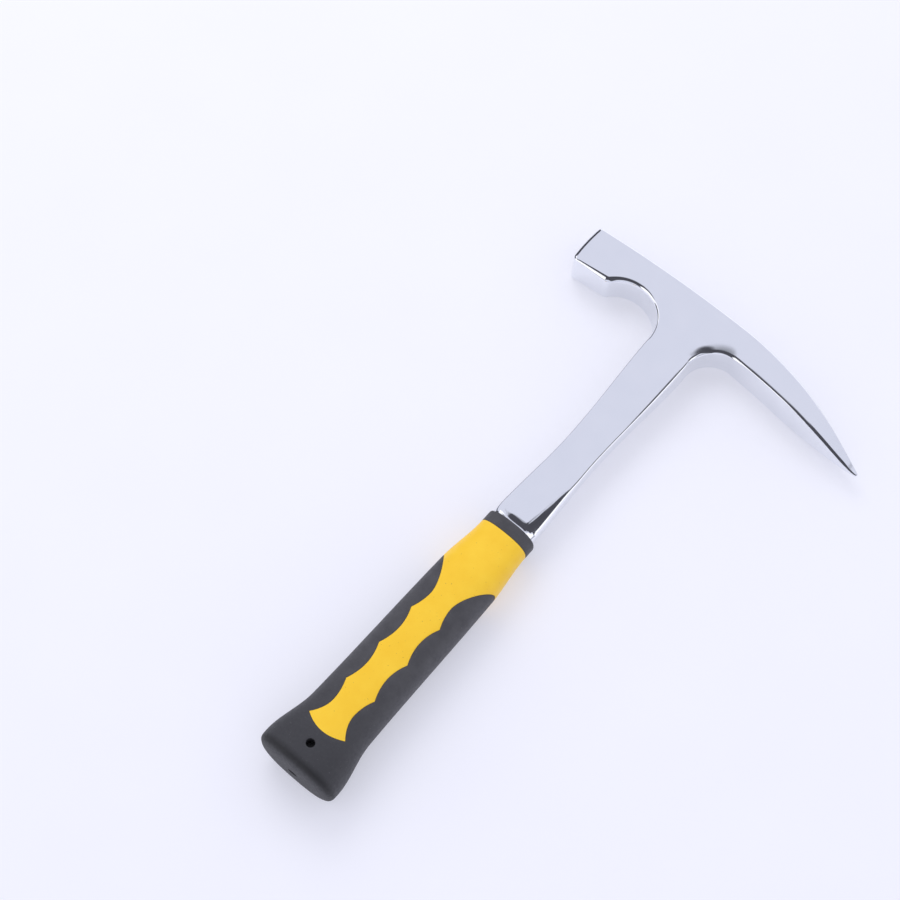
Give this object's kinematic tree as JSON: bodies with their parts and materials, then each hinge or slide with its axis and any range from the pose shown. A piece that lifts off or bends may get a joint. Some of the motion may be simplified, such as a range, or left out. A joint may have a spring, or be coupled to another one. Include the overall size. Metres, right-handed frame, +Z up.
{
  "type": "rock hammer",
  "caption": "One-piece steel rock hammer with a square striking face, a long pointed pick and a two-colour moulded grip.",
  "frame": {"origin": "middle of the base of the box around the hammer as it lies on its side: Z is 0 at the butt's lowest point", "axes": "+X towards the pick's point, +Y along the handle towards the head, +Z up out of the upper cheek"},
  "size_m": [0.1864, 0.3262, 0.034],
  "materials": {
    "polished_steel": "mirror polished",
    "yellow_plastic": "satin moulded",
    "soft_cover": "matt moulded",
    "collar": "matt moulded"
  },
  "bodies": {
    "root": {"forged_head_and_shank": "polished_steel", "hard_grip_core": "yellow_plastic", "soft_grip_cover": "soft_cover", "collar_ring": "collar"}
  },
  "joints": []
}
